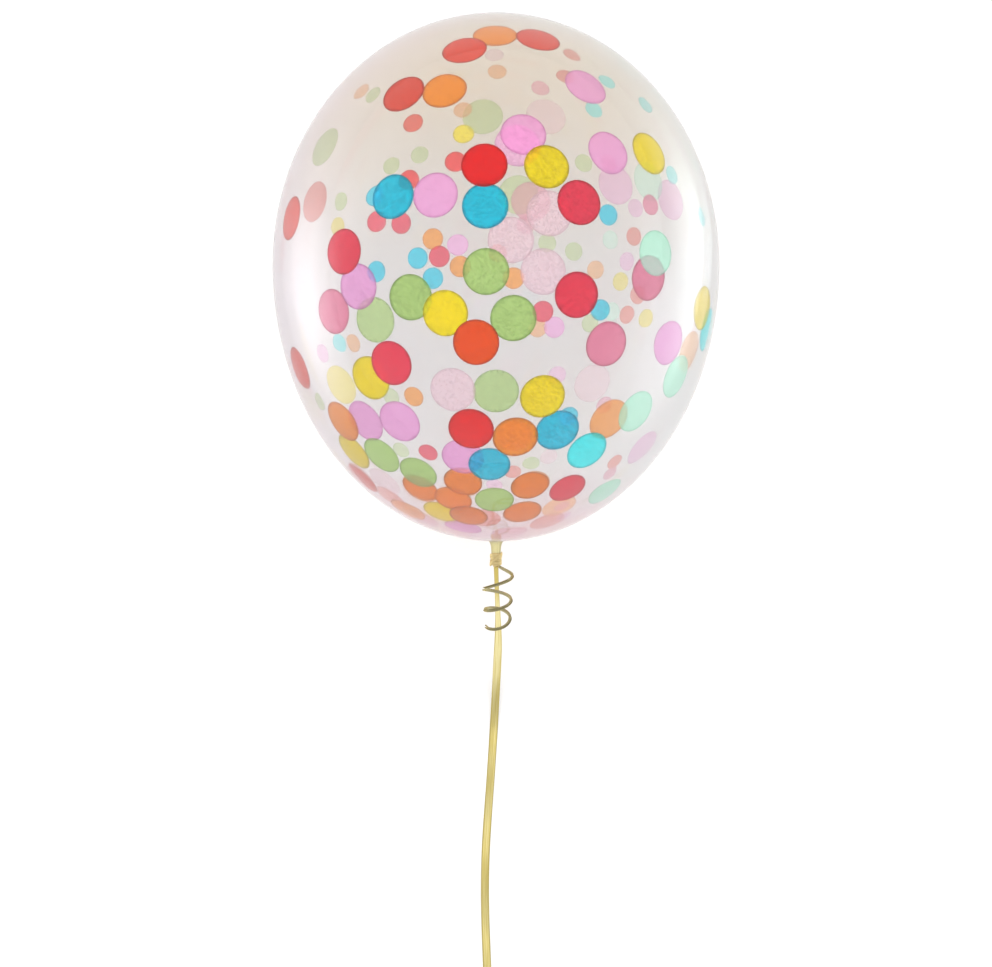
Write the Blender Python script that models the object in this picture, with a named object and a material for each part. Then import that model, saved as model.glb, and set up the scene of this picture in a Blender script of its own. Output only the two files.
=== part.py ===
"""Confetti balloon lying on its side, with its gold ribbon.

The envelope's axis runs along Y, crown towards +Y, and dips towards the neck. The origin is on the
floor, under the middle of the envelope. A ribbon is knotted round the neck. One end of it is a
short curl. The other end drops to the floor, runs along it and ends in a tied coil.
"""

import math

import bmesh
import bpy
from mathutils import Matrix, Vector

# Driving dimensions of the envelope, in metres
BODY_RADIUS = 0.133
CROWN_LENGTH = 0.150
BASE_LENGTH = 0.164
NECK_RADIUS = 0.0032
NECK_LENGTH = 0.013
NECK_FLARE = 0.0045
FLARE_FADE = 0.0026
NECK_BLEND_RADIUS = 0.018

# How it lies: the axis dips towards the neck, and its weight rests on a small flat spot
AXIS_DIP = math.radians(12)
FLAT_DEPTH = 0.0023

# Ribbon and knot
RIBBON_WIDTH = 0.005
GAP = 0.0003
WRAP_START = 0.0065
WRAP_THICKNESS = 0.0009
KNOT_END_THICKNESS = 0.0012
KNOT_ROUNDING = 0.0008

# Curl at the short end of the ribbon
CURL_DIAMETER = 0.017
CURL_STEP = 0.0062
CURL_DROOP = (4, 9, 15, 22, 30)

# Coil that holds the rest of the ribbon, and its tie
COIL_OUTER_RADIUS = 0.0335
COIL_INNER_RADIUS = 0.0225
COIL_ROUNDING = 0.0008
TIE_THICKNESS = 0.0006
TIE_WIDTH = 0.006

# Route of the ribbon from the knot: metres to the right, metres out from the knot, and height as
# a share of the knot's own height over the floor stretch
ROUTE = (
    (0.0000, 0.0000, 1.000),
    (0.0004, 0.0110, 0.955),
    (0.0009, 0.0210, 0.865),
    (0.0013, 0.0295, 0.745),
    (0.0014, 0.0365, 0.605),
    (0.0012, 0.0425, 0.455),
    (0.0008, 0.0490, 0.305),
    (0.0003, 0.0575, 0.170),
    (-0.0004, 0.0690, 0.073),
    (-0.0012, 0.0830, 0.018),
    (-0.0022, 0.0990, 0.000),
    (-0.0036, 0.1200, 0.000),
    (-0.0052, 0.1420, 0.000),
    (-0.0064, 0.1640, 0.000),
    (-0.0068, 0.1860, 0.000),
    (-0.0064, 0.2080, 0.000),
    (-0.0056, 0.2300, 0.000),
    (-0.0050, 0.2520, 0.000),
    (-0.0048, 0.2700, 0.000),
    (-0.0048, 0.2860, 0.000),
)
ROUTE_STEP = 0.011

# Facets
BODY_SEGMENTS = 48
HALF_RINGS = 15
NECK_RINGS = 9
SMALL_SEGMENTS = 24
COIL_SEGMENTS = 48
TUBE_RESOLUTION = 3


def material(name, colour, roughness, metallic=0.0, alpha=1.0):
    made = bpy.data.materials.new(name)
    made.use_nodes = True
    shader = made.node_tree.nodes["Principled BSDF"]
    shader.inputs["Base Color"].default_value = (*colour, 1.0)
    shader.inputs["Roughness"].default_value = roughness
    shader.inputs["Metallic"].default_value = metallic
    shader.inputs["Alpha"].default_value = alpha
    return made


def placed(name, data, finish, parent=None):
    item = bpy.data.objects.new(name, data)
    bpy.context.scene.collection.objects.link(item)
    item.data.materials.append(finish)
    item.parent = parent
    return item


def turned(name, profile, axis, segments):
    """Mesh turned about the axis from a closed or pole-to-pole line of points in the XY plane."""
    body = bmesh.new()
    line = [body.verts.new((x, y, 0.0)) for x, y in profile]
    edges = [body.edges.new(pair) for pair in zip(line, line[1:])]
    if profile[0][0] > 0:
        edges.append(body.edges.new((line[-1], line[0])))
    bmesh.ops.spin(
        body,
        geom=line + edges,
        cent=(0, 0, 0),
        axis=axis,
        angle=2 * math.pi,
        steps=segments,
        use_merge=True,
    )
    bmesh.ops.remove_doubles(body, verts=body.verts, dist=1e-6)
    bmesh.ops.recalc_face_normals(body, faces=body.faces)
    return finished(name, body)


def finished(name, body):
    mesh = bpy.data.meshes.new(name)
    body.to_mesh(mesh)
    body.free()
    mesh.shade_smooth()
    mesh.set_sharp_from_angle(angle=math.radians(40))
    return mesh


def neck_radius(below_base):
    """Radius of the neck, which flares into the body, at a distance out from the base."""
    return NECK_RADIUS + NECK_FLARE * math.exp(-below_base / FLARE_FADE)


def envelope_profile():
    """Half outline of the envelope: two half ellipses, blended into the neck."""
    points = [(0.0, CROWN_LENGTH)]
    for ring in range(1, HALF_RINGS):
        angle = ring / HALF_RINGS * math.pi / 2
        points.append((BODY_RADIUS * math.sin(angle), CROWN_LENGTH * math.cos(angle)))
    for ring in range(HALF_RINGS):
        angle = ring / HALF_RINGS * math.pi / 2
        reach = BASE_LENGTH * math.sin(angle)
        body = BODY_RADIUS * math.cos(angle)
        neck = neck_radius(BASE_LENGTH - reach) if body < NECK_BLEND_RADIUS else 0.0
        points.append((math.hypot(body, neck), -reach))
    for ring in range(NECK_RINGS + 1):
        out = NECK_LENGTH * ring / NECK_RINGS
        points.append((neck_radius(out), -BASE_LENGTH - out))
    points.append((0.0, -BASE_LENGTH - NECK_LENGTH))
    return points


def centre_height():
    """Height of the widest circle's centre over the floor."""
    down = math.hypot(BASE_LENGTH * math.sin(AXIS_DIP), BODY_RADIUS * math.cos(AXIS_DIP))
    return down - FLAT_DEPTH


def centre_along():
    """Place along Y of the widest circle's centre, with the envelope's middle over the origin."""
    to_crown = math.hypot(CROWN_LENGTH * math.cos(AXIS_DIP), BODY_RADIUS * math.sin(AXIS_DIP))
    to_tip = (BASE_LENGTH + NECK_LENGTH) * math.cos(AXIS_DIP)
    to_tip += neck_radius(NECK_LENGTH) * math.sin(AXIS_DIP)
    return (to_tip - to_crown) / 2


def lying_frame():
    """Empty at the widest circle's centre, dipped as the axis dips."""
    frame = bpy.data.objects.new("lying_frame", None)
    frame.location = (0.0, centre_along(), centre_height())
    frame.rotation_euler = (AXIS_DIP, 0.0, 0.0)
    bpy.context.scene.collection.objects.link(frame)
    return frame


def in_room(point):
    """World place of a point given in the lying frame."""
    place = Matrix.Translation((0.0, centre_along(), centre_height()))
    return place @ Matrix.Rotation(AXIS_DIP, 4, "X") @ Vector(point)


def balloon(parent):
    mesh = turned("balloon", envelope_profile(), (0, 1, 0), BODY_SEGMENTS)
    body = bmesh.new()
    body.from_mesh(mesh)
    down = Vector((0.0, -math.sin(AXIS_DIP), -math.cos(AXIS_DIP)))
    cut = bmesh.ops.bisect_plane(
        body,
        geom=body.verts[:] + body.edges[:] + body.faces[:],
        dist=1e-6,
        plane_co=down * centre_height(),
        plane_no=down,
        clear_outer=True,
    )
    rim = [edge for edge in cut["geom_cut"] if isinstance(edge, bmesh.types.BMEdge)]
    bmesh.ops.edgeloop_fill(body, edges=rim)
    bmesh.ops.recalc_face_normals(body, faces=body.faces)
    clear = material("clear_latex", (0.93, 0.90, 0.88), 0.08, alpha=0.35)
    return placed("balloon", finished("balloon", body), clear, parent)


def knot_radius():
    bore = neck_radius(WRAP_START) + GAP
    return bore + WRAP_THICKNESS


def knot_end():
    """Distance from the widest circle's centre to the knot's outer face."""
    return BASE_LENGTH + NECK_LENGTH + GAP + KNOT_END_THICKNESS


def ribbon_knot(parent, gold):
    """Ribbon wound round the neck and knotted over its end: a cup that the neck's end sits in."""
    bore = neck_radius(WRAP_START) + GAP
    outer = knot_radius()
    start = BASE_LENGTH + WRAP_START
    end = knot_end()
    profile = [
        (0.0, -end),
        (outer - KNOT_ROUNDING, -end),
        (outer, -end + KNOT_ROUNDING),
        (outer, -start - KNOT_ROUNDING / 2),
        (outer - KNOT_ROUNDING / 2, -start),
        (bore, -start),
        (bore, -end + KNOT_END_THICKNESS),
        (0.0, -end + KNOT_END_THICKNESS),
    ]
    mesh = turned("ribbon_knot", profile, (0, 1, 0), SMALL_SEGMENTS)
    return placed("ribbon_knot", mesh, gold, parent)


def smooth_line(points, step):
    """Points about a step apart on a smooth curve through the given points."""
    points = [Vector(point) for point in points]
    padded = [2 * points[0] - points[1], *points, 2 * points[-1] - points[-2]]
    fine = []
    for before, start, end, after in zip(padded, padded[1:], padded[2:], padded[3:]):
        for share in (0.0, 0.125, 0.25, 0.375, 0.5, 0.625, 0.75, 0.875):
            linear = (end - before) * share
            square = (2 * before - 5 * start + 4 * end - after) * share**2
            cube = (3 * (start - end) + after - before) * share**3
            fine.append(start + (linear + square + cube) / 2)
    fine.append(points[-1])
    total = sum((b - a).length for a, b in zip(fine, fine[1:]))
    spans = max(1, round(total / step))
    line = [fine[0]]
    walked = 0.0
    for a, b in zip(fine, fine[1:]):
        length = (b - a).length
        while walked + length >= total * len(line) / spans - 1e-9 and len(line) < spans:
            line.append(a.lerp(b, (total * len(line) / spans - walked) / length))
        walked += length
    return [*line, fine[-1]]


def tube(name, points, radius, finish):
    """Round tube with closed ends along the points."""
    curve = bpy.data.curves.new(name, "CURVE")
    curve.dimensions = "3D"
    curve.bevel_depth = radius
    curve.bevel_resolution = TUBE_RESOLUTION
    curve.use_fill_caps = True
    spline = curve.splines.new("POLY")
    spline.points.add(len(points) - 1)
    for knot, point in zip(spline.points, points):
        knot.co = (*point, 1.0)
        knot.radius = 1.0
    return placed(name, curve, finish)


def exit_point():
    """Where the long end leaves the knot: on its outer face, low enough to pass under the curl."""
    low = RIBBON_WIDTH / 2 - knot_radius()
    return in_room((0.0, -knot_end() - GAP, low))


def route_points():
    start = exit_point()
    floor = RIBBON_WIDTH / 2 + GAP
    points = []
    for right, out, share in ROUTE:
        height = floor + share * (start.z - floor)
        points.append(Vector((start.x + right, start.y - out, height)))
    return points


def ribbon_run(gold):
    return tube("ribbon_run", smooth_line(route_points(), ROUTE_STEP), RIBBON_WIDTH / 2, gold)


def ribbon_curl(gold):
    """Space that the curled end takes up: it springs from the knot and droops."""
    low = RIBBON_WIDTH / 2 - knot_radius()
    above = low + RIBBON_WIDTH / 2 + 2 * GAP + CURL_DIAMETER / 2
    place = in_room((0.0, -knot_end() - GAP, above))
    points = [place]
    for droop in (0, *CURL_DROOP):
        slope = AXIS_DIP + math.radians(droop)
        place = place + CURL_STEP * Vector((0.0, -math.cos(slope), -math.sin(slope)))
        points.append(place)
    return tube("ribbon_curl", points, CURL_DIAMETER / 2, gold)


def coil_centre():
    """The run meets the coil's outer wall side on, to the left of it."""
    end = route_points()[-1]
    beside = COIL_OUTER_RADIUS + GAP + RIBBON_WIDTH / 2
    bottom = TIE_THICKNESS + 2 * GAP
    return Vector((end.x + beside, end.y, bottom + RIBBON_WIDTH / 2))


def ribbon_coil(gold):
    half = RIBBON_WIDTH / 2
    profile = [
        (COIL_INNER_RADIUS + COIL_ROUNDING, half),
        (COIL_OUTER_RADIUS - COIL_ROUNDING, half),
        (COIL_OUTER_RADIUS, half - COIL_ROUNDING),
        (COIL_OUTER_RADIUS, COIL_ROUNDING - half),
        (COIL_OUTER_RADIUS - COIL_ROUNDING, -half),
        (COIL_INNER_RADIUS + COIL_ROUNDING, -half),
        (COIL_INNER_RADIUS, COIL_ROUNDING - half),
        (COIL_INNER_RADIUS, half - COIL_ROUNDING),
    ]
    coil = placed("ribbon_coil", turned("ribbon_coil", profile, (0, 1, 0), COIL_SEGMENTS), gold)
    coil.rotation_euler = (math.pi / 2, 0.0, 0.0)
    coil.location = coil_centre()
    return coil


def coil_tie(finish):
    """Band closed round the coil, on the side away from the balloon."""
    across = (COIL_OUTER_RADIUS - COIL_INNER_RADIUS) / 2 + GAP
    upright = RIBBON_WIDTH / 2 + GAP
    corners = ((-across, -upright), (across, -upright), (across, upright), (-across, upright))
    band = bmesh.new()
    sides = [
        [band.verts.new((side * TIE_WIDTH / 2, y, z)) for y, z in corners] for side in (-1, 1)
    ]
    for index in range(4):
        after = (index + 1) % 4
        band.faces.new((sides[0][index], sides[0][after], sides[1][after], sides[1][index]))
    bmesh.ops.recalc_face_normals(band, faces=band.faces)
    tie = placed("coil_tie", finished("coil_tie", band), finish)
    thicken = tie.modifiers.new("thickness", "SOLIDIFY")
    thicken.thickness = TIE_THICKNESS
    thicken.offset = 1.0
    thicken.use_even_offset = True
    middle = (COIL_OUTER_RADIUS + COIL_INNER_RADIUS) / 2
    tie.location = coil_centre() - Vector((0.0, middle, 0.0))
    return tie


def main():
    for item in list(bpy.data.objects):
        bpy.data.objects.remove(item)
    gold = material("gold_ribbon", (0.80, 0.62, 0.24), 0.30, metallic=0.6)
    lying = lying_frame()
    balloon(lying)
    ribbon_knot(lying, gold)
    ribbon_run(gold)
    ribbon_curl(gold)
    ribbon_coil(gold)
    coil_tie(gold)


main()
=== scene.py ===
"""Looks of the confetti balloon: clear skin, tissue discs inside it, gold ribbon and studio."""

import math
import random

import bmesh
import bpy
from mathutils import Matrix, Quaternion, Vector


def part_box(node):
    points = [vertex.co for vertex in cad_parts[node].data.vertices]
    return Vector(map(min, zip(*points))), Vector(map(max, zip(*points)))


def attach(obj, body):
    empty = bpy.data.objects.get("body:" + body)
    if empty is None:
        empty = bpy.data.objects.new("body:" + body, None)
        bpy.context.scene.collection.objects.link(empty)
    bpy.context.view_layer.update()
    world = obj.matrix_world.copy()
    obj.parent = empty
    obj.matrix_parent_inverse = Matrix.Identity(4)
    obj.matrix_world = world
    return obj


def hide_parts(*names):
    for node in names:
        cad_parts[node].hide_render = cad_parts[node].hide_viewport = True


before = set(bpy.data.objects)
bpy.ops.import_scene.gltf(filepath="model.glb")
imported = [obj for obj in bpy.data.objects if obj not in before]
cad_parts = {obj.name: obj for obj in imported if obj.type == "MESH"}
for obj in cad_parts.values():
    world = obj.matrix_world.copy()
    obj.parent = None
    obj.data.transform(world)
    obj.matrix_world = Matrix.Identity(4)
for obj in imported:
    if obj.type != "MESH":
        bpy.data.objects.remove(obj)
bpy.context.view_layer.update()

# The envelope, as the solid has it, in metres
BODY_RADIUS = 0.133
CROWN_LENGTH = 0.150
BASE_LENGTH = 0.164
NECK_RADIUS = 0.0032
NECK_LENGTH = 0.013
NECK_FLARE = 0.0045
FLARE_FADE = 0.0026
NECK_BLEND_RADIUS = 0.018
AXIS_DIP = math.radians(12)

# The skin: its wall, its height over the floor, the soft turn into its flat spot, its neck, which is
# drawn slimmer than the solid's and squeezed by the ribbon, its pleats and its points round the axis
WALL = 0.0003
REST = 0.0001
PRESS_TURN = 0.0006
SLIM_RADIUS = 0.0027
SLIM_FLARE = 0.0015
SLIM_FADE = 0.0018
SQUEEZE = 0.0004
SQUEEZE_PLACE = 0.0098
SQUEEZE_SPREAD = 0.0022
NECK_START = BASE_LENGTH * 0.985
PLEAT_DEPTH = 0.06
PLEAT_FADE = 0.006
SKIN_AROUND = 144

# Ribbon and knot, as the solids have them
RIBBON_WIDTH = 0.005
RIBBON_THICKNESS = 0.00014
GAP = 0.0003
WRAP_START = 0.0065
WRAP_THICKNESS = 0.0009
KNOT_END_THICKNESS = 0.0012
CURL_DIAMETER = 0.017
CURL_STEP = 0.0062
CURL_DROOP = (4, 9, 15, 22, 30)
COIL_OUTER_RADIUS = 0.0335
COIL_INNER_RADIUS = 0.0225
TIE_THICKNESS = 0.0006
TIE_WIDTH = 0.006
TIE_CORNER = 0.0012

# Route of the ribbon: metres to the right, metres out from the knot, share of the knot's height
ROUTE = (
    (0.0000, 0.0000, 1.000),
    (0.0004, 0.0110, 0.955),
    (0.0009, 0.0210, 0.865),
    (0.0013, 0.0295, 0.745),
    (0.0014, 0.0365, 0.605),
    (0.0012, 0.0425, 0.455),
    (0.0008, 0.0490, 0.305),
    (0.0003, 0.0575, 0.170),
    (-0.0004, 0.0690, 0.073),
    (-0.0012, 0.0830, 0.018),
    (-0.0022, 0.0990, 0.000),
    (-0.0036, 0.1200, 0.000),
    (-0.0052, 0.1420, 0.000),
    (-0.0064, 0.1640, 0.000),
    (-0.0068, 0.1860, 0.000),
    (-0.0064, 0.2080, 0.000),
    (-0.0056, 0.2300, 0.000),
    (-0.0050, 0.2520, 0.000),
    (-0.0048, 0.2700, 0.000),
    (-0.0048, 0.2860, 0.000),
)

# The coil's turns, their distance from the solid ring's sides, and the lead into them: how many
# points are taken back from the route and on from the coil
COIL_TURNS = 4.5
COIL_TURN_POINTS = 48
COIL_OUTER_SLACK = 0.0008
COIL_INNER_SLACK = 0.0012
LEAD_BACK = 8
LEAD_ON = 6
RIBBON_STEP = 0.0012

# Twist of the ribbon below the knot, which fades out, and its slow sway further on
KNOT_TWIST = math.radians(57)
TWIST_FADE = 0.062
SWAY = math.radians(9)
SWAY_PACE = 47

# The curl: its turns in degrees, closer together towards the end, its radius, which gets smaller,
# its shift to the right, the lean of the ribbon and how far its section has closed
CURL_START = 90
CURL_SWEEP = 985
CURL_EASE = 1.3
CURL_RADIUS = 0.0081
CURL_TAPER = 0.0019
CURL_SHIFT = 0.0010
CURL_LEAN = math.radians(72)
CURL_CUP = 2.5
CURL_FINE_STEP = 0.0003

# Turns wound round the neck: radius, lean in degrees, shift along the neck and width
TURNS = (
    (0.0031, 8, 0.0003, 0.0036),
    (0.0034, -14, 0.0019, 0.0026),
    (0.0034, 10, -0.0017, 0.0026),
)
WOUND_THICKNESS = 0.0003

# Camera: long lens, square to the dipping axis, aimed below the envelope's widest circle
LENS = 100
SENSOR = 36
VIEW_WIDTH = 0.592
CAMERA_AWAY = VIEW_WIDTH * LENS / SENSOR
AIM_BELOW = 0.1295


# Places on and in the envelope


def axis_centre():
    """Centre of the widest circle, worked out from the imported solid's box."""
    low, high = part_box("balloon")
    along = math.hypot(CROWN_LENGTH * math.cos(AXIS_DIP), BODY_RADIUS * math.sin(AXIS_DIP))
    rise = math.hypot(CROWN_LENGTH * math.sin(AXIS_DIP), BODY_RADIUS * math.cos(AXIS_DIP))
    return Vector(((low[0] + high[0]) / 2, high[1] - along, high[2] - rise))


CENTRE = axis_centre()
LYING = Matrix.Translation(CENTRE) @ Matrix.Rotation(AXIS_DIP, 4, "X")
AXIS = LYING.to_3x3() @ Vector((0.0, 1.0, 0.0))


def neck_radius(below_base):
    return NECK_RADIUS + NECK_FLARE * math.exp(-below_base / FLARE_FADE)


def slim_neck(below_base):
    """Radius of the drawn-out neck, which the ribbon's turns squeeze."""
    squeeze = SQUEEZE * math.exp(-(((below_base - SQUEEZE_PLACE) / SQUEEZE_SPREAD) ** 2))
    return SLIM_RADIUS + SLIM_FLARE * math.exp(-below_base / SLIM_FADE) - squeeze


def pressed(place, floor):
    """A place in the room, kept above the floor with a soft turn where the skin meets it."""
    over = place.z - floor
    if over >= PRESS_TURN:
        return place
    rest = floor if over <= -PRESS_TURN else floor + (over + PRESS_TURN) ** 2 / (4 * PRESS_TURN)
    return Vector((place.x, place.y, rest))


def on_wall(place, inward):
    """The point of the body's wall in the same direction as place, moved inward."""
    reach = CROWN_LENGTH if place.y > 0 else BASE_LENGTH
    unit = Vector((place.x / BODY_RADIUS, place.y / reach, place.z / BODY_RADIUS)).normalized()
    wall = Vector((unit.x * BODY_RADIUS, unit.y * reach, unit.z * BODY_RADIUS))
    out = Vector((unit.x / BODY_RADIUS, unit.y / reach, unit.z / BODY_RADIUS)).normalized()
    return wall - inward * out, out


def knot_end():
    return BASE_LENGTH + NECK_LENGTH + GAP + KNOT_END_THICKNESS


def knot_radius():
    return neck_radius(WRAP_START) + GAP + WRAP_THICKNESS


def knot_exit(above=0.0):
    low = RIBBON_WIDTH / 2 - knot_radius()
    return LYING @ Vector((0.0, -knot_end() - GAP, low + above))


# Camera, first of all, because the ribbon's coil has to lie outside its view


def make_camera():
    data = bpy.data.cameras.new("camera")
    data.lens = LENS
    data.sensor_width = SENSOR
    camera = bpy.data.objects.new("camera", data)
    bpy.context.scene.collection.objects.link(camera)
    aim = CENTRE - AIM_BELOW * AXIS
    back = LYING.to_3x3() @ Vector((0.0, 0.0, 1.0))
    camera.location = aim + back * CAMERA_AWAY
    camera.rotation_mode = "QUATERNION"
    camera.rotation_quaternion = (-back).to_track_quat("-Z", "Y")
    bpy.context.scene.camera = camera


# Shader nodes written as expressions


class Wire:
    """A shader socket. Arithmetic on it adds Math nodes."""

    def __init__(self, tree, socket=None):
        self.tree = tree
        self.socket = socket

    def add(self, kind, settings=None, inputs=None, out=0):
        node = self.tree.nodes.new(kind)
        for name, value in (settings or {}).items():
            setattr(node, name, value)
        for name, value in (inputs or {}).items():
            if isinstance(value, Wire):
                self.tree.links.new(value.socket, node.inputs[name])
            else:
                node.inputs[name].default_value = value
        return Wire(self.tree, node.outputs[out])

    def maths(self, operation, *values):
        return self.add("ShaderNodeMath", {"operation": operation}, dict(enumerate(values)))

    def __add__(self, other):
        return self.maths("ADD", self, other)

    __radd__ = __add__

    def __mul__(self, other):
        return self.maths("MULTIPLY", self, other)

    __rmul__ = __mul__

    def __sub__(self, other):
        return self.maths("SUBTRACT", self, other)

    def __rsub__(self, other):
        return self.maths("SUBTRACT", other, self)

    def __pow__(self, other):
        return self.maths("POWER", self, other)

    def __rpow__(self, other):
        return self.maths("POWER", other, self)

    def between(self, low, high):
        """Goes from 0 at low to 1 at high."""
        return self.add(
            "ShaderNodeMapRange",
            {"interpolation_type": "SMOOTHSTEP"},
            {"Value": self, "From Min": low, "From Max": high},
        )

    def tint(self, first, second):
        """Colour that goes from first to second as this value goes from 0 to 1."""
        settings = {"data_type": "RGBA"}
        return self.add("ShaderNodeMix", settings, {"Factor": self, 6: first, 7: second}, 2)


def new_finish(name):
    """Empty material: its nodes and the output that a shader goes to."""
    finish = bpy.data.materials.new(name)
    finish.use_nodes = True
    finish.node_tree.nodes.clear()
    return finish, Wire(finish.node_tree)


def show(wires, shader):
    output = wires.tree.nodes.new("ShaderNodeOutputMaterial")
    wires.tree.links.new(shader.socket, output.inputs["Surface"])


def rgba(colour):
    return (*colour, 1.0)


# Meshes


def piece_of(name, body, finish):
    mesh = bpy.data.meshes.new(name)
    body.to_mesh(mesh)
    body.free()
    mesh.shade_smooth()
    mesh.materials.append(finish)
    piece = bpy.data.objects.new(name, mesh)
    bpy.context.scene.collection.objects.link(piece)
    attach(piece, "root")
    return piece


def bridge(body, first, second):
    """Faces between two rings of as many points."""
    for index in range(len(first)):
        after = (index + 1) % len(first)
        body.faces.new((first[index], first[after], second[after], second[index]))


def curve_through(points):
    """Fine steps of a smooth curve through the given points, eight between every two."""
    points = [Vector(point) for point in points]
    padded = [2 * points[0] - points[1], *points, 2 * points[-1] - points[-2]]
    fine = []
    for before, start, end, after in zip(padded, padded[1:], padded[2:], padded[3:]):
        for step in range(8):
            share = step / 8
            linear = (end - before) * share
            square = (2 * before - 5 * start + 4 * end - after) * share**2
            cube = (3 * (start - end) + after - before) * share**3
            fine.append(start + (linear + square + cube) / 2)
    return [*fine, points[-1]]


def smooth_line(points, step):
    """Points about a step apart on a smooth curve through the given points."""
    fine = curve_through(points)
    total = length_of(fine)
    spans = max(1, round(total / step))
    line = [fine[0]]
    walked = 0.0
    for start, end in zip(fine, fine[1:]):
        length = (end - start).length
        while walked + length >= total * len(line) / spans - 1e-9 and len(line) < spans:
            line.append(start.lerp(end, (total * len(line) / spans - walked) / length))
        walked += length
    return [*line, fine[-1]]


def length_of(points):
    return sum((b - a).length for a, b in zip(points, points[1:]))


def directions(points):
    ends = zip([points[0], *points[:-1]], [*points[1:], points[-1]])
    return [(after - before).normalized() for before, after in ends]


def profile_across(width, thickness, cup):
    """Outline of the ribbon's section as (across, up), flat or bent round by the angle cup."""
    shares = (-0.5, -0.36, -0.12, 0.12, 0.36, 0.5)
    bulge = (0.35, 0.9, 1.0, 1.0, 0.9, 0.35)
    outline = []
    for way in (1, -1):
        for share, rise in list(zip(shares, bulge))[::way]:
            over = share * width
            up = way * rise * thickness / 2
            if cup:
                angle = 2 * share * cup
                radius = width / (2 * cup)
                over = (radius - up) * math.sin(angle)
                up = radius - (radius - up) * math.cos(angle)
            outline.append((over, up, share * width))
    return outline


def strip(body, points, across, width=RIBBON_WIDTH, thickness=RIBBON_THICKNESS, cup=0.0):
    """Ribbon along the points. across gives the direction of its width at each point."""
    layer = body.loops.layers.uv.get("along") or body.loops.layers.uv.new("along")
    outline = profile_across(width, thickness, cup)
    rings = []
    for point, direction, wide in zip(points, directions(points), across):
        up = direction.cross(wide).normalized()
        rings.append([body.verts.new(point + wide * over + up * rise) for over, rise, _ in outline])
    walked = 0.0
    for index, (first, second) in enumerate(zip(rings, rings[1:])):
        length = (points[index + 1] - points[index]).length
        for side in range(len(first)):
            after = (side + 1) % len(first)
            face = body.faces.new((first[side], second[side], second[after], first[after]))
            here = outline[side][2]
            there = outline[after][2]
            ends = ((walked, here), (walked + length, here), (walked + length, there), (walked, there))
            for loop, place in zip(face.loops, ends):
                loop[layer].uv = place
        walked += length
    body.faces.new(rings[0])
    body.faces.new(list(reversed(rings[-1])))


# Gold ribbon


# Gold: its tint at a flat angle, and the paces of its ribs and of its duller stretches, in radians
# to the metre
GOLD_SHEEN = (0.92, 0.80, 0.42)
RIB_PACE = 8000
DULL_PACE = 260


def gold_finish(name, pale, deep, shaded=0.0):
    """Metallic plastic: fine ribs, streaks, painted shade at its edges and at its start by the knot,
    and deeper gold further on.
    """
    finish, wires = new_finish(name)
    place = wires.add("ShaderNodeUVMap", {"uv_map": "along"})
    along = wires.add("ShaderNodeSeparateXYZ", inputs={"Vector": place}, out=0)
    over = wires.add("ShaderNodeSeparateXYZ", inputs={"Vector": place}, out=1)
    ribs = over.maths("SINE", over * RIB_PACE) * 0.5 + 0.5
    scale = {"Vector": place, "Scale": (25, 1400, 1)}
    squeezed = wires.add("ShaderNodeMapping", {"vector_type": "POINT"}, scale)
    streaks = wires.add("ShaderNodeTexNoise", inputs={"Vector": squeezed, "Scale": 1.0, "Detail": 1.0})
    # Painted shade: darker towards the edges, as if the middle caught the light.
    edge = over.maths("ABSOLUTE", over).between(0.0014, 0.0025)
    # Painted shade at the start by the knot; further on the gold turns deeper.
    ends = (along.between(0.030, 0.004) + along.between(0.07, 0.13) * 0.6) * shaded
    shade = ribs * 0.18 + streaks.between(0.35, 0.7) * 0.45 + edge * 0.5 + ends
    colour = shade.tint(rgba(pale), rgba(deep))
    bump = wires.add("ShaderNodeBump", inputs={"Strength": 0.15, "Distance": 0.00006, "Height": ribs})
    shader = wires.add(
        "ShaderNodeBsdfPrincipled",
        inputs={
            "Base Color": colour,
            "Metallic": 0.75,
            "Specular Tint": rgba(GOLD_SHEEN),
            "Roughness": along.maths("SINE", along * DULL_PACE) * 0.03 + 0.33,
            "Normal": bump,
        },
    )
    show(wires, shader)
    return finish


def route_points():
    start = knot_exit()
    lie = RIBBON_THICKNESS / 2 + GAP
    points = []
    for right, out, share in ROUTE:
        points.append(Vector((start.x + right, start.y - out, lie + share * (start.z - lie))))
    return points


def coil_centre():
    end = route_points()[-1]
    beside = COIL_OUTER_RADIUS + GAP + RIBBON_WIDTH / 2
    return Vector((end.x + beside, end.y, TIE_THICKNESS + 2 * GAP + RIBBON_WIDTH / 2))


def coil_points():
    """The turns from the outside in, each standing on its edge beside the last."""
    middle = coil_centre()
    outer = COIL_OUTER_RADIUS - COIL_OUTER_SLACK
    inner = COIL_INNER_RADIUS + COIL_INNER_SLACK
    count = round(COIL_TURNS * COIL_TURN_POINTS)
    points = []
    for index in range(count + 1):
        share = index / count
        angle = math.pi + share * COIL_TURNS * 2 * math.pi
        radius = outer + (inner - outer) * share
        points.append(middle + radius * Vector((math.cos(angle), math.sin(angle), 0.0)))
    return points


def ribbon_line():
    """Centre line of the long end: down from the knot, along the floor and round the coil."""
    route = smooth_line(route_points()[:-1], RIBBON_STEP)
    coil = coil_points()
    first = COIL_TURN_POINTS // 5
    lead = smooth_line([route[-LEAD_BACK], route[-1], *coil[first : first + LEAD_ON]], RIBBON_STEP)
    joined = [*route[:-LEAD_BACK], *lead[:-1]]
    keep = min(range(len(coil)), key=lambda index: (coil[index] - joined[-1]).length)
    rest = smooth_line(coil[keep + 1 :], RIBBON_STEP)
    return [*joined, *rest]


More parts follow.
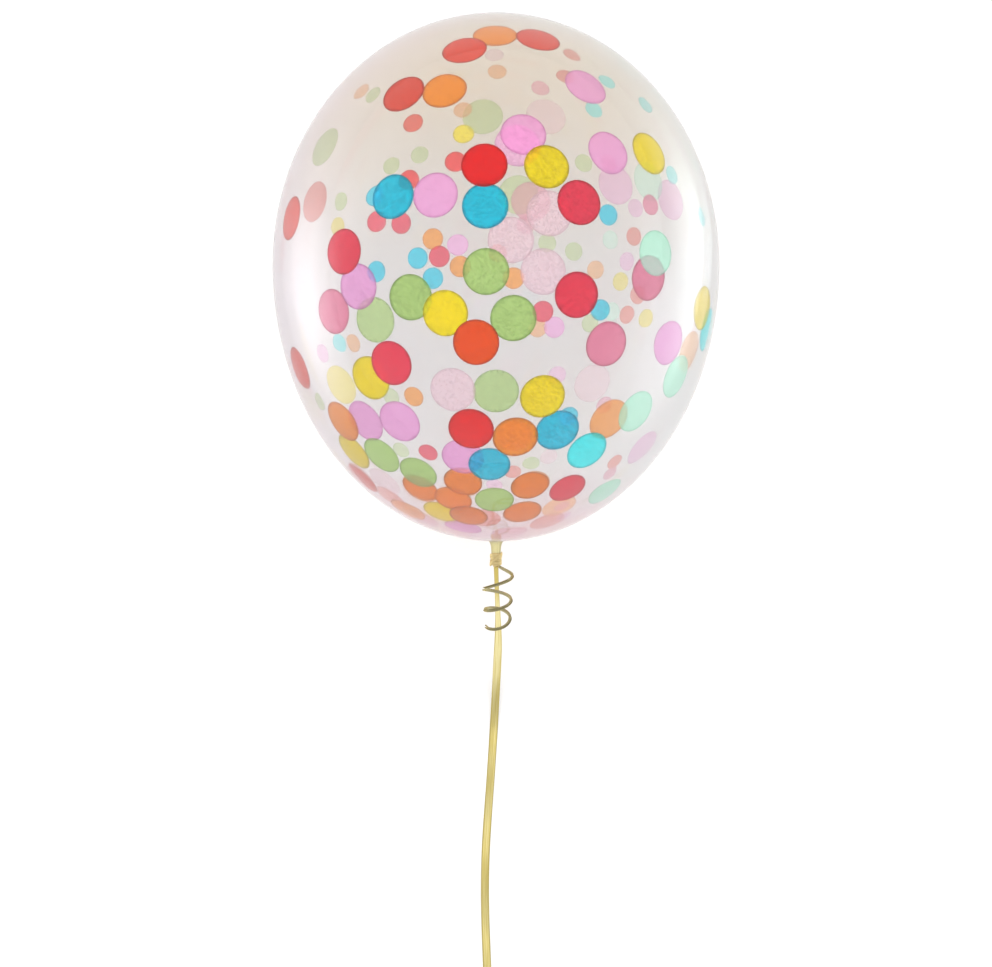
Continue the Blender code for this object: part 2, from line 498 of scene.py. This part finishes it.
def ribbon_across(points):
    """Width of the ribbon: level along the floor, twisted a little at the knot, upright in the coil."""
    coil_start = coil_centre().y + COIL_OUTER_RADIUS
    across = []
    walked = 0.0
    upright = 0.0
    last = points[0]
    for point, direction in zip(points, directions(points)):
        walked += (point - last).length
        last = point
        side = direction.cross(Vector((0, 0, 1))).normalized()
        if point.y < coil_start:
            upright = max(upright, min(1.0, (coil_start - point.y) / COIL_OUTER_RADIUS))
        twist = KNOT_TWIST * math.exp(-((walked / TWIST_FADE) ** 2))
        twist += SWAY * math.sin(walked * SWAY_PACE) * (1 - upright)
        turn = twist + (math.pi / 2 - twist) * upright**2 * (3 - 2 * upright)
        across.append(Quaternion(direction, turn) @ side)
    return across


def lift_edge(point, wide):
    """Raises the ribbon where a twist would put its lower edge into the floor."""
    need = abs(wide.z) * RIBBON_WIDTH / 2 + RIBBON_THICKNESS
    return Vector((point.x, point.y, max(point.z, need)))


def long_ribbon(finish):
    points = ribbon_line()
    across = ribbon_across(points)
    lifted = [lift_edge(point, wide) for point, wide in zip(points, across)]
    body = bmesh.new()
    strip(body, lifted, across)
    piece = piece_of("gold_ribbon", body, finish)
    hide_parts("ribbon_run", "ribbon_coil")
    return piece, lifted


def curl_spine():
    """Middle line of the curl: it springs from the knot and droops."""
    place = knot_exit(RIBBON_WIDTH / 2 + 2 * GAP + CURL_DIAMETER / 2)
    points = [place]
    for droop in (0, *CURL_DROOP):
        slope = AXIS_DIP + math.radians(droop)
        place = place + CURL_STEP * Vector((0.0, -math.cos(slope), -math.sin(slope)))
        points.append(place)
    return smooth_line(points, CURL_FINE_STEP)


def curled_end(finish):
    """Short end, drawn over a blade: one open loop, then tighter turns of a closed channel."""
    spine = curl_spine()
    points = []
    across = []
    for index, (middle, direction) in enumerate(zip(spine, directions(spine))):
        share = index / (len(spine) - 1)
        side = Vector((1.0, 0.0, 0.0))
        up = side.cross(direction).normalized()
        angle = math.radians(CURL_START - CURL_SWEEP * share**CURL_EASE)
        radius = CURL_RADIUS - CURL_TAPER * share
        out = side * math.cos(angle) + up * math.sin(angle)
        points.append(middle + CURL_SHIFT * side + out * radius)
        across.append((direction * math.sin(CURL_LEAN) + out * math.cos(CURL_LEAN)).normalized())
    body = bmesh.new()
    strip(body, points, across, cup=CURL_CUP)
    piece = piece_of("curled_end", body, finish)
    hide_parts("ribbon_curl")
    return piece, points


def strip_loose(body, points, across, width, cup):
    """A strip of its own length, so that its places along the ribbon start at 0 again."""
    part = bmesh.new()
    strip(part, points, across, width, WOUND_THICKNESS, cup)
    mesh = bpy.data.meshes.new("wrap")
    part.to_mesh(mesh)
    part.free()
    body.from_mesh(mesh)
    bpy.data.meshes.remove(mesh)


def spoke(angle):
    return Vector((math.cos(angle), 0.0, math.sin(angle)))


def wound_turns(body, middle):
    """Turns round the neck, each leaning its own way and a little wavy."""
    steps = 48
    for radius, lean, shift, width in TURNS:
        points = []
        for index in range(steps + 1):
            angle = index / steps * 2 * math.pi
            wave = 1 + 0.03 * math.sin(3 * angle + lean)
            slide = math.tan(math.radians(lean)) * radius * math.sin(angle)
            place = spoke(angle) * radius * wave + Vector((0.0, -middle - shift + slide, 0.0))
            points.append(LYING @ place)
        strip_loose(body, points, [AXIS] * len(points), width, 0.0)


def drawn_band(body, middle):
    """Ribbon drawn slantwise over the front of the turns."""
    radius = 0.0037
    slant = 0.0031
    points = []
    across = []
    for index in range(25):
        angle = math.radians(-20 + index * 10)
        slide = Vector((0.0, -middle + slant * math.cos(angle), 0.0))
        points.append(LYING @ (spoke(angle) * radius + slide))
        wide = Vector((0.35 * math.sin(angle), 1.0, -0.35 * math.cos(angle)))
        across.append((LYING.to_3x3() @ wide).normalized())
    strip_loose(body, points, across, 0.0030, 0.25)


def tight_knot(body):
    """Small knot of three loops below the turns."""
    steps = 40
    size = 0.00085
    middle = Vector((0.0, -knot_end() + 0.0006, 0.0018))
    points = []
    for index in range(steps + 1):
        angle = index / steps * 2 * math.pi
        right = math.sin(angle) + 1.6 * math.sin(2 * angle)
        up = math.cos(angle) - 1.6 * math.cos(2 * angle)
        loop = Vector((right, -0.75 * math.sin(3 * angle), up))
        points.append(LYING @ (loop * size + middle))
    strip_loose(body, points, [AXIS] * len(points), 0.0021, 0.9)


def neck_knot(finish):
    """Ribbon wound three times round the neck, a band drawn over the turns, and a small tight knot."""
    body = bmesh.new()
    middle = (WRAP_START + BASE_LENGTH + knot_end()) / 2
    wound_turns(body, middle)
    drawn_band(body, middle)
    tight_knot(body)
    piece = piece_of("neck_knot", body, finish)
    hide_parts("ribbon_knot")
    return piece


def coil_band(finish):
    """Short piece of ribbon closed round the coil."""
    across = (COIL_OUTER_RADIUS - COIL_INNER_RADIUS) / 2 + GAP + TIE_THICKNESS / 2
    upright = RIBBON_WIDTH / 2 + GAP + TIE_THICKNESS / 2
    middle = coil_centre() - Vector((0.0, (COIL_OUTER_RADIUS + COIL_INNER_RADIUS) / 2, 0.0))
    points = []
    for side, rise, start in ((1, 1, 0), (-1, 1, 90), (-1, -1, 180), (1, -1, 270)):
        for step in range(7):
            angle = math.radians(start + step * 15)
            turn = Vector((0.0, math.cos(angle), math.sin(angle))) * TIE_CORNER
            base = Vector((0.0, side * (across - TIE_CORNER), rise * (upright - TIE_CORNER)))
            points.append(middle + base + turn)
    points.append(points[0])
    body = bmesh.new()
    strip(body, points, [Vector((1.0, 0.0, 0.0))] * len(points), TIE_WIDTH, TIE_THICKNESS)
    piece = piece_of("coil_band", body, finish)
    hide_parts("coil_tie")
    return piece


# Clear skin


def skin_profile():
    """Radius and place along the axis, from the crown to the neck's end."""
    half_rings = 44
    neck_rings = 14
    points = []
    for ring in range(1, half_rings):
        angle = ring / half_rings * math.pi / 2
        points.append((BODY_RADIUS * math.sin(angle), CROWN_LENGTH * math.cos(angle)))
    for ring in range(half_rings):
        angle = ring / half_rings * math.pi / 2
        reach = BASE_LENGTH * math.sin(angle)
        round_body = BODY_RADIUS * math.cos(angle)
        fade = max(0.0, 1 - round_body / NECK_BLEND_RADIUS) ** 0.3
        points.append((math.hypot(round_body, fade * slim_neck(BASE_LENGTH - reach)), -reach))
    for ring in range(neck_rings + 1):
        out = NECK_LENGTH * ring / neck_rings
        points.append((slim_neck(out), -BASE_LENGTH - out))
    return points


def pleat(radius, angle):
    """Shallow folds that gather towards the tied neck."""
    near = math.exp(-max(0.0, radius - NECK_RADIUS) / PLEAT_FADE)
    depth = PLEAT_DEPTH * near * radius
    return radius + depth * (0.6 * math.sin(9 * angle) + 0.4 * math.sin(14 * angle + 1))


def latex_thickness(radius, along):
    """1 at the neck, a quarter at the crown and 0 between, where the latex is stretched most."""
    from_neck = math.hypot(max(0.0, radius - NECK_RADIUS), max(0.0, along + BASE_LENGTH))
    near_neck = math.exp(-from_neck / 0.0035)
    near_crown = math.exp(-((radius / 0.016) ** 2)) if along > 0 else 0.0
    return max(near_neck, 0.25 * near_crown)


def skin_place(radius, along, angle, inward):
    """A point of the skin in the room: pleated towards the neck, pressed flat on the floor."""
    on_body = along > -NECK_START
    fold = pleat(radius, angle) if along < 0 else radius
    if not on_body:
        fold -= inward
    place = Vector((fold * math.cos(angle), along, fold * math.sin(angle)))
    if on_body and inward:
        place = on_wall(place, inward)[0]
    return pressed(LYING @ place, inward + REST)


def close_end(body, ring, along, thick):
    """A fan of faces from a ring to a point on the axis."""
    tip = body.verts.new(LYING @ Vector((0.0, along, 0.0)))
    tip[thick] = ring[0][thick]
    for index in range(len(ring)):
        body.faces.new((ring[index], ring[(index + 1) % len(ring)], tip))


def skin_sheet(body, inward, flip):
    """One face of the skin, which also carries how thick the latex is."""
    thick = body.verts.layers.float.get("thick") or body.verts.layers.float.new("thick")
    rings = []
    for radius, along in skin_profile():
        ring = []
        for index in range(SKIN_AROUND):
            angle = index / SKIN_AROUND * 2 * math.pi
            spot = body.verts.new(skin_place(radius, along, angle, inward))
            spot[thick] = latex_thickness(radius, along)
            ring.append(spot)
        rings.append(ring)
    for first, second in zip(rings, rings[1:]):
        bridge(body, *((second, first) if flip else (first, second)))
    close_end(body, rings[0] if flip else rings[0][::-1], CROWN_LENGTH - inward, thick)
    neck_tip = -BASE_LENGTH - NECK_LENGTH + 3 * inward
    close_end(body, rings[-1][::-1] if flip else rings[-1], neck_tip, thick)


# Latex colours: at the middle, towards the crown, at the base, and at the rim on each side, where they
# are a painted reflection, lilac on the left and mint on the right
COOL_LATEX = (0.872, 0.88, 0.90)
WARM_LATEX = (0.857, 0.789, 0.683)
BASE_LATEX = (0.85, 0.76, 0.79)
LEFT_RIM_PAINTED_REFLECTION = (0.73, 0.61, 0.73)
RIGHT_RIM_PAINTED_REFLECTION = (0.67, 0.75, 0.76)
BASE_RIM = (0.72, 0.49, 0.60)


def latex_colour(wires, place, facing):
    """Cool in the middle, warmer towards the crown, rosy at the base, and deeper at the rim, with a
    painted reflection there, lilac on the left and mint on the right.
    """
    settings = {"operation": "DOT_PRODUCT"}
    along = wires.add("ShaderNodeVectorMath", settings, {0: place, 1: AXIS}, 1) - AXIS.dot(CENTRE)
    across = wires.add("ShaderNodeSeparateXYZ", inputs={"Vector": place}, out=0)
    clouds = wires.add("ShaderNodeTexNoise", inputs={"Vector": place, "Scale": 14.0, "Detail": 2.0})
    warm = along.between(-0.03, 0.15) * 0.8 + clouds * 0.2
    base_end = along.between(-0.112, -0.168)
    body_tint = warm.tint(rgba(COOL_LATEX), rgba(WARM_LATEX))
    body_tint = (base_end * 0.9).tint(body_tint, rgba(BASE_LATEX))
    # Painted reflection at the rim: lilac on the left, mint on the right.
    rim_tint = across.between(-0.09, 0.09).tint(rgba(LEFT_RIM_PAINTED_REFLECTION), rgba(RIGHT_RIM_PAINTED_REFLECTION))
    rim_tint = base_end.tint(rim_tint, rgba(BASE_RIM))
    return (facing**3).tint(body_tint, rim_tint)


def skin_finish():
    """Clear glossy latex, slightly hazy, milky where it is thick, and with less gloss at the rim."""
    finish, wires = new_finish("latex_clear")
    place = wires.add("ShaderNodeNewGeometry", out=0)
    thick = wires.add("ShaderNodeAttribute", {"attribute_name": "thick"}, out=2)
    facing = wires.add("ShaderNodeLayerWeight", inputs={"Blend": 0.5}, out=1)
    clear = wires.add(
        "ShaderNodeBsdfPrincipled",
        inputs={
            "Base Color": latex_colour(wires, place, facing),
            "Roughness": 0.04,
            "IOR": 1.12,
            "Transmission Weight": 1.0,
            "Coat Weight": 1.0 - facing**2 * 0.9,
            "Coat Roughness": 0.05,
            "Coat IOR": 1.45,
        },
    )
    milk = wires.add("ShaderNodeBsdfTranslucent", inputs={"Color": rgba((0.94, 0.93, 0.93))})
    cream = wires.add("ShaderNodeBsdfDiffuse", inputs={"Color": rgba((0.50, 0.46, 0.24))})
    haze = wires.add("ShaderNodeMixShader", inputs={0: thick * 0.9, 1: milk, 2: cream})
    amount = thick * 0.8 + facing**4 * 0.2 + 0.10
    skin = wires.add("ShaderNodeMixShader", inputs={0: amount, 1: clear, 2: haze})
    for_shadow = wires.add("ShaderNodeLightPath", out=1)
    through = wires.add("ShaderNodeBsdfTransparent", inputs={"Color": rgba((0.965, 0.96, 0.96))})
    show(wires, wires.add("ShaderNodeMixShader", inputs={0: for_shadow, 1: skin, 2: through}))
    return finish


def clear_skin():
    body = bmesh.new()
    skin_sheet(body, 0.0, False)
    skin_sheet(body, WALL, True)
    piece = piece_of("clear_skin", body, skin_finish())
    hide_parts("balloon")
    piece.visible_diffuse = False
    return piece


# Confetti


COLOURS = {
    "red": (0.93, 0.010, 0.014),
    "crimson": (0.90, 0.074, 0.16),
    "coral": (0.86, 0.13, 0.07),
    "orange": (0.90, 0.15, 0.001),
    "tangerine": (0.95, 0.43, 0.022),
    "apricot": (0.94, 0.45, 0.07),
    "yellow": (0.94, 0.83, 0.003),
    "green": (0.58, 0.76, 0.33),
    "mint": (0.68, 0.96, 0.84),
    "blue": (0.012, 0.70, 0.87),
    "cyan": (0.09, 0.93, 0.96),
    "lilac": (0.90, 0.56, 0.82),
    "rose": (0.86, 0.38, 0.52),
    "blush": (0.87, 0.70, 0.76),
}
WARM = ("red", "crimson", "coral", "orange", "tangerine", "yellow")

LARGE_RADIUS = 0.0130
SMALL_RADIUS = 0.0060

# Thickness of the paper, height of a layer of it, and its distance from the skin
PAPER = 0.00006
LAYER = 0.00016
CONFETTI_GAP = 0.0003

# Rings of points on a disc: share of its radius, and how much darker it is there
DISC_RINGS = ((0.36, 0.0), (0.7, 0.0), (0.86, 0.0), (0.93, 0.45), (1.0, 0.75))
LARGE_RIM_POINTS = 32
SMALL_RIM_POINTS = 24
MOST_LIFT = 0.0012
MOST_TONE = 0.28

# Towards the neck discs get smaller: the height at which that starts, in millimetres from the widest
# circle, the way down over which it goes on, and by how much
SMALLER_FROM = -105
SMALLER_OVER = 25
SMALLER_BY = 0.13

# Behind the near discs of warm colours up to this height lie discs on the far wall as well
HIDDEN_BELOW = 12
HIDDEN_SIZE = 0.9
HIDDEN_PALE = 0.3

# Where discs lie, front ones first, in millimetres to the right of the middle and up from the
# widest circle, as the camera sees them
LARGE_NEAR = (
    ("red", ((-7, 61), (-15, -97.5))),
    ("crimson", ((50, 38.5), (-91.5, 9), (48.5, -17), (-63, -58), (43, -133))),
    ("coral", ((-19, 130), (25.3, 136.3), (-55.6, 103.7), (-118, -61), (-123, 29))),
    ("apricot", ((-0.5, 139), (-31, 106), (-92, -93))),
    ("orange", ((-12, -45.5),)),
    ("tangerine", ((11.7, -102.5),)),
    ("yellow", ((30.5, 60), (92, 68), (-30.5, -28), (28, -78), (-75.5, -67), (-85.5, -111))),
    ("yellow", ((124, -25),)),
    ("green", ((-6, -3), (-51.5, -18.5), (10.5, -31), (-69, -113.5), (-47, -124), (-1, -140))),
    ("mint", ((96, 8), (84, -87), (65.5, -135), (108, -66))),
    ("blue", ((-6.5, 36.5), (-62, 42), (37, -98.5), (-4, -119))),
    ("cyan", ((54.7, -110.5), (126.5, -38))),
    ("lilac", ((54, 108), (16.5, 79.5), (-36.5, 43), (67.5, 68.5), (-83, -12), (-58, -93))),
    ("lilac", ((-79, -93), (-20, -114.5), (104, -46))),
    ("rose", ((66.5, -46.5), (92, -7), (-98, -27))),
    ("tangerine", ((-20, -129.5), (20.5, -131.5), (-16.5, -149.5), (16, -147.5), (-26, -140))),
    ("tangerine", ((-46, -133.5),)),
    ("coral", ((-80, -127),)),
    ("yellow", ((-33, -148),)),
    ("lilac", ((-20, -157.5),)),
)
LARGE_FAINT = (
    ("blush", ((-26, -74), (9, 16), (28.5, -3), (32, 32))),
    ("green", ((-73, -32), (0, -75))),
    ("apricot", ((68, -92),)),
    ("lilac", ((13, 73),)),
    ("tangerine", ((-53, -146),)),
)
SMALL_NEAR = (
    ("coral", ((-49.8, 86),)),
    ("red", ((-24.5, 63), (-52.5, 52))),
    ("crimson", ((-34, 6), (-40.8, -111.5), (-72, 27), (-57, 26), (28.2, -27))),
    ("apricot", ((-38, 16.5), (-21.5, 0), (10.5, -7), (-49.5, -78))),
    ("blue", ((67.5, 31), (-47, 5), (-72, -3), (-38, -7), (62.7, -26), (-73, 42.5), (43.5, -90))),
    ("lilac", ((-23, 13), (35.2, -36.5))),
    ("rose", ((92.7, 37),)),
    ("yellow", ((-19.5, 79.5),)),
)
LARGE_FAR = (
    ("green", ((-8, 90), (13.5, 43), (-103, 72))),
    ("yellow", ((-93.3, -71),)),
    ("blush", ((30, 90), (58, -70), (-67, -129))),
    ("rose", ((21, 39), (-45, -151), (8, -160))),
    ("coral", ((-109, 39), (-8, -151), (31, -153), (-63, -139))),
    ("tangerine", ((38, -144),)),
    ("lilac", ((105, 40), (88, -109), (72, 49))),
    ("mint", ((92, 51),)),
    ("apricot", ((116, -51),)),
)
SMALL_FAR = (
    ("yellow", ((-95, 24), (90, -31), (74.7, -9))),
    ("apricot", ((-20, 94), (-81, 105), (0.7, 117), (25, -37), (59.7, -2), (-85.8, -46))),
    ("green", ((-74, 103), (-45.8, 67), (-62.8, 60.5), (-93.3, 39), (30.7, 14), (46.7, 9))),
    ("green", ((52.7, 62), (56.5, -34), (-106, -81), (-63, -78), (-57, -110), (21, -118))),
    ("coral", ((45.7, 127), (41.7, 114), (1, 8), (85.2, -17), (71.2, -117), (10, -123))),
    ("coral", ((82.7, 18), (78.7, -29))),
    ("blush", ((-1, 127), (31.7, -114))),
    ("rose", ((26.7, 107), (17.7, 25), (68, 62), (65, -83), (39.7, -144), (68.7, -124))),
    ("cyan", ((66.7, 111), (58.7, 94), (89.7, 97), (105.7, 55), (123.7, 30), (-94, -46))),
    ("lilac", ((83.7, 35), (78.7, 3), (-104, -52), (36.7, -65), (40.7, -150), (-1, -131))),
    ("mint", ((69.7, -27), (68.7, 16))),
)


def wall_place(right, up, near):
    """Place on the wall, near or far, where the camera sees a point so many millimetres away."""
    x = right / 1000
    along = up / 1000
    height = 0.05 if near else -0.05
    for _ in range(60):
        seen_x = x * (1 - height / CAMERA_AWAY)
        seen_along = along - (AIM_BELOW + along) * height / CAMERA_AWAY
        reach = CROWN_LENGTH if seen_along > 0 else BASE_LENGTH
        square = BODY_RADIUS**2 * (1 - (seen_along / reach) ** 2) - seen_x**2
        height = (height + math.sqrt(max(square, 1e-6)) * (1 if near else -1)) / 2
    return Vector((seen_x, seen_along, height))


def disc(body, place, radius, inward, pale, loose, draw):
    """Paper disc that lies along the wall. A loose one lifts one edge a little."""
    shade = body.verts.layers.float.get("shade") or body.verts.layers.float.new("shade")
    paleness = body.verts.layers.float.get("pale") or body.verts.layers.float.new("pale")
    middle, out = on_wall(place, 0.0)
    side = out.orthogonal().normalized()
    other = out.cross(side)
    turned = draw.uniform(0, 2 * math.pi)
    lift = draw.uniform(0.0, MOST_LIFT) if loose else 0.0
    tone = draw.uniform(0.0, MOST_TONE)
    rim = LARGE_RIM_POINTS if radius > 0.01 else SMALL_RIM_POINTS

    def point(share, angle, dark, deep):
        flat = radius * share * (side * math.cos(angle) + other * math.sin(angle))
        raised = lift * max(0.0, share * math.cos(angle - turned)) ** 2
        spot = on_wall(middle + flat, deep + raised)[0]
        spot = body.verts.new(pressed(LYING @ spot, deep))
        spot[shade] = tone + dark * (1 - pale)
        spot[paleness] = pale
        return spot

    angles = [index / rim * 2 * math.pi for index in range(rim)]
    sides = []
    for deep in (WALL + inward, WALL + inward + PAPER):
        rings = [[point(share, angle, dark, deep) for angle in angles] for share, dark in DISC_RINGS]
        sides.append((point(0.0, 0.0, 0.0, deep), rings))
    join_sides(body, sides)


def join_sides(body, sides):
    """Faces of a disc: its outer side, its inner side and its rim."""
    for (hub, rings), back in zip(sides, (False, True)):
        inner = rings[0]
        for index in range(len(inner)):
            corners = (hub, inner[index], inner[(index + 1) % len(inner)])
            body.faces.new(tuple(reversed(corners)) if back else corners)
        for first, second in zip(rings, rings[1:]):
            bridge(body, *((first, second) if back else (second, first)))
    bridge(body, sides[0][1][-1], sides[1][1][-1])


def tissue_finish(name, colour):
    """Thin tissue paper: matte, mottled by its fibres, and seen against the light."""
    finish, wires = new_finish("tissue_" + name)
    place = wires.add("ShaderNodeNewGeometry", out=0)
    shade = wires.add("ShaderNodeAttribute", {"attribute_name": "shade"}, out=2)
    pale = wires.add("ShaderNodeAttribute", {"attribute_name": "pale"}, out=2)
    clouds = wires.add("ShaderNodeTexNoise", inputs={"Vector": place, "Scale": 620.0, "Detail": 2.0})
    fibres = wires.add("ShaderNodeTexNoise", inputs={"Vector": place, "Scale": 1900.0, "Detail": 1.0})
    mottle = clouds.between(0.34, 0.66) * 0.7 + fibres.between(0.34, 0.66) * 0.3
    tone = 0.755 + mottle * 0.45 - shade * 0.6
    dark = tuple((0.42 + 0.5 * min(colour)) * part**1.5 for part in colour)
    light = tuple(part**0.85 for part in colour)
    white = (0.98, 0.98, 0.98)
    # Paleness whitens the paint; on far discs that is painted light, for the haze and backlight they
    # show.
    paint = pale.tint(tone.tint(rgba(dark), rgba(light)), rgba(white))
    bump = wires.add("ShaderNodeBump", inputs={"Strength": 0.06, "Distance": 0.00008, "Height": mottle})
    paper = wires.add(
        "ShaderNodeBsdfPrincipled",
        inputs={"Base Color": paint, "Roughness": 0.9, "Normal": bump},
    )
    glow = wires.add("ShaderNodeBsdfTranslucent", inputs={"Color": rgba(colour)})
    sheet = wires.add("ShaderNodeMixShader", inputs={0: 0.3, 1: paper, 2: glow})
    deep, thin, faded = (
        wires.add("ShaderNodeBsdfTransparent", inputs={"Color": rgba(shown)})
        for shown in (dark, light, white)
    )
    clear = wires.add("ShaderNodeMixShader", inputs={0: tone, 1: deep, 2: thin})
    clear = wires.add("ShaderNodeMixShader", inputs={0: pale, 1: clear, 2: faded})
    see_through = pale * 0.17 + 0.70
    show(wires, wires.add("ShaderNodeMixShader", inputs={0: see_through, 1: sheet, 2: clear}))
    return finish


def disc_place(right, up, near):
    return on_wall(wall_place(right, up, near), 0.0)[0]


def confetti_places():
    """Every disc as colour, place, radius and paleness: those in view first, then the hidden side."""
    found = []
    # Paleness on the far wall is painted light: it whitens those discs for the haze and backlight they
    # show.
    for table, radius, near, pale in (
        (LARGE_NEAR, LARGE_RADIUS, True, 0.0),
        (LARGE_FAINT, LARGE_RADIUS, True, 0.28),
        (SMALL_NEAR, SMALL_RADIUS, True, 0.33),
        (LARGE_FAR, LARGE_RADIUS, False, 0.55),
        (SMALL_FAR, SMALL_RADIUS, False, 0.6),
    ):
        for name, places in table:
            for right, up in places:
                smaller = SMALLER_BY * min(1.0, max(0.0, (SMALLER_FROM - up) / SMALLER_OVER))
                found.append((name, disc_place(right, up, near), radius * (1 - smaller), pale))
    draw = random.Random(12)
    for name, places in LARGE_NEAR:
        for right, up in places:
            if up < HIDDEN_BELOW and name in WARM:
                right += draw.uniform(-1, 1)
                up += draw.uniform(-1, 1)
                place = disc_place(right, up, False)
                found.append((name, place, LARGE_RADIUS * HIDDEN_SIZE, HIDDEN_PALE))
    return found


def crosses(first, second):
    return (first[1] - second[1]).length < first[2] + second[2]


def confetti():
    """Discs of one colour are one piece. Where discs cross, each later one lies a layer deeper."""
    draw = random.Random(5)
    bodies = {name: bmesh.new() for name in COLOURS}
    places = confetti_places()
    depths = []
    for index, this in enumerate(places):
        under = [depths[other] for other in range(index) if crosses(places[other], this)]
        depths.append(1 + max(under, default=-1))
    for index, (name, place, radius, pale) in enumerate(places):
        loose = not any(crosses(places[index], other) for other in places[index + 1 :])
        inward = CONFETTI_GAP + depths[index] * LAYER
        disc(bodies[name], place, radius, inward, pale, loose, draw)
    for name, body in bodies.items():
        bmesh.ops.recalc_face_normals(body, faces=body.faces)
        finish = tissue_finish(name, COLOURS[name])
        piece = piece_of("confetti_" + name, body, finish)
        piece.visible_shadow = False


# Studio


# Soft highlights on the skin: where the camera sees them, spread, brightness and colour
HIGHLIGHTS = (
    ("left_low_light", (-108, -26), 52, 2.9, (1.0, 0.93, 0.97)),
    ("left_high_light", (-106, 22), 58, 0.8, (1.0, 0.86, 0.97)),
    ("right_high_light", (112, 42), 52, 1.2, (0.82, 1.0, 1.0)),
    ("right_middle_light", (117, 2), 48, 2.4, (0.93, 1.0, 1.0)),
    ("right_low_light", (106, -50), 54, 1.1, (0.95, 1.0, 1.0)),
    ("right_inner_light", (88, -48), 56, 0.8, (1.0, 1.0, 1.0)),
)


def make_floor():
    finish, wires = new_finish("pale_floor")
    place = wires.add("ShaderNodeNewGeometry", out=0)
    grain = wires.add("ShaderNodeTexNoise", inputs={"Vector": place, "Scale": 60.0, "Detail": 3.0})
    colour = grain.tint(rgba((0.42, 0.42, 0.42)), rgba((0.44, 0.44, 0.44)))
    shader = wires.add(
        "ShaderNodeBsdfPrincipled",
        inputs={
            "Base Color": colour,
            "Roughness": 0.7,
            "Emission Color": rgba((1.0, 1.0, 1.0)),
            "Emission Strength": 0.38,
        },
    )
    show(wires, shader)
    body = bmesh.new()
    bmesh.ops.create_grid(body, x_segments=1, y_segments=1, size=6.0)
    mesh = bpy.data.meshes.new("floor")
    body.to_mesh(mesh)
    body.free()
    mesh.materials.append(finish)
    floor = bpy.data.objects.new("floor", mesh)
    bpy.context.scene.collection.objects.link(floor)


def lamp(name, place, aim, width, height, brightness, spread=math.pi, colour=(1.0, 1.0, 1.0)):
    """Oval soft light. Brightness 1 is that of white paper in full light; spread narrows its beam."""
    data = bpy.data.lights.new(name, "AREA")
    data.shape = "ELLIPSE"
    data.size = width
    data.size_y = height
    data.spread = spread
    beam = 1.0 if spread == math.pi else 1 - spread / 2 / math.tan(spread / 2)
    data.energy = brightness * beam * math.pi * math.pi / 4 * width * height
    data.color = colour
    light = bpy.data.objects.new(name, data)
    light.location = place
    light.rotation_mode = "QUATERNION"
    light.rotation_quaternion = (Vector(aim) - Vector(place)).to_track_quat("-Z", "X")
    light.visible_camera = False
    bpy.context.scene.collection.objects.link(light)
    return light


def skin_highlight(name, skin_only, seen, spread, brightness, colour):
    """Light for the skin's gloss alone, set where the skin mirrors it at the place that is seen."""
    spot, out = on_wall(wall_place(*seen, True), 0.0)
    spot = LYING @ spot
    out = LYING.to_3x3() @ out
    view = (spot - bpy.context.scene.camera.location).normalized()
    away = view - 2 * view.dot(out) * out
    light = lamp(name, spot + 0.3 * away, spot, 0.5, 0.7, brightness, math.radians(spread), colour)
    light.light_linking.receiver_collection = skin_only
    light.light_linking.blocker_collection = skin_only
    light.visible_diffuse = False
    light.visible_transmission = False


def make_sky():
    """Even pale surroundings, brightest low down, so that the skin's top stays clear."""
    world = bpy.data.worlds.new("studio")
    world.use_nodes = True
    world.node_tree.nodes.clear()
    wires = Wire(world.node_tree)
    place = wires.add("ShaderNodeTexCoord")
    height = wires.add("ShaderNodeSeparateXYZ", inputs={"Vector": place}, out=2)
    low = (1.0 - height).maths("MAXIMUM", 1.0 - height, 0.0).maths("MINIMUM", 1.0 - height, 1.0)
    colour = (low**2).tint(rgba((0.45, 0.45, 0.45)), rgba((0.95, 0.95, 0.95)))
    light = wires.add("ShaderNodeBackground", inputs={"Color": colour, "Strength": 1.0})
    output = world.node_tree.nodes.new("ShaderNodeOutputWorld")
    world.node_tree.links.new(light.socket, output.inputs["Surface"])
    bpy.context.scene.world = world


def only(name, piece):
    """A collection of one piece, for a light that lights nothing else."""
    collection = bpy.data.collections.new(name)
    collection.objects.link(piece)
    return collection


def make_lights(skin, ribbon):
    top = lamp("ceiling", (0.0, -0.1, 2.4), (0.0, -0.1, 0.0), 2.7, 2.7, 4.65)
    key = lamp("key", (-0.9, 0.9, 1.6), (0.0, 0.0, 0.1), 0.9, 0.9, 2.5)
    for light in (top, key):
        light.visible_glossy = False
        light.visible_transmission = False
    skin_only = only("skin_only", skin)
    sheen = lamp("ribbon_sheen", (0.0, -0.06, 1.3), (0.0, -0.32, 0.0), 1.0, 0.35, 1.35)
    sheen.light_linking.receiver_collection = only("ribbon_only", ribbon)
    for name, seen, spread, brightness, colour in HIGHLIGHTS:
        skin_highlight(name, skin_only, seen, spread, brightness, colour)
    bpy.context.scene.view_settings.view_transform = "Standard"


def gold_pieces():
    """The ribbon's two ends with their knot and band. Gives the long ribbon."""
    gold = gold_finish("gold_pale", (0.92, 0.85, 0.50), (0.60, 0.48, 0.14), 0.8)
    # The curl's gold is a darker copy of the ribbon's: painted shade.
    drawn = gold_finish("gold_curl_painted_shade", (0.57, 0.52, 0.31), (0.31, 0.27, 0.14))
    wound = gold_finish("gold_wound", (0.86, 0.70, 0.36), (0.50, 0.37, 0.15))
    ribbon, ribbon_path = long_ribbon(gold)
    curl, curl_path = curled_end(drawn)
    knot = neck_knot(wound)
    band = coil_band(gold)
    round(length_of(ribbon_path), 3)
    round(length_of(curl_path), 3)
    return ribbon


def main():
    make_camera()
    ribbon = gold_pieces()
    skin = clear_skin()
    confetti()
    make_floor()
    make_sky()
    make_lights(skin, ribbon)


main()
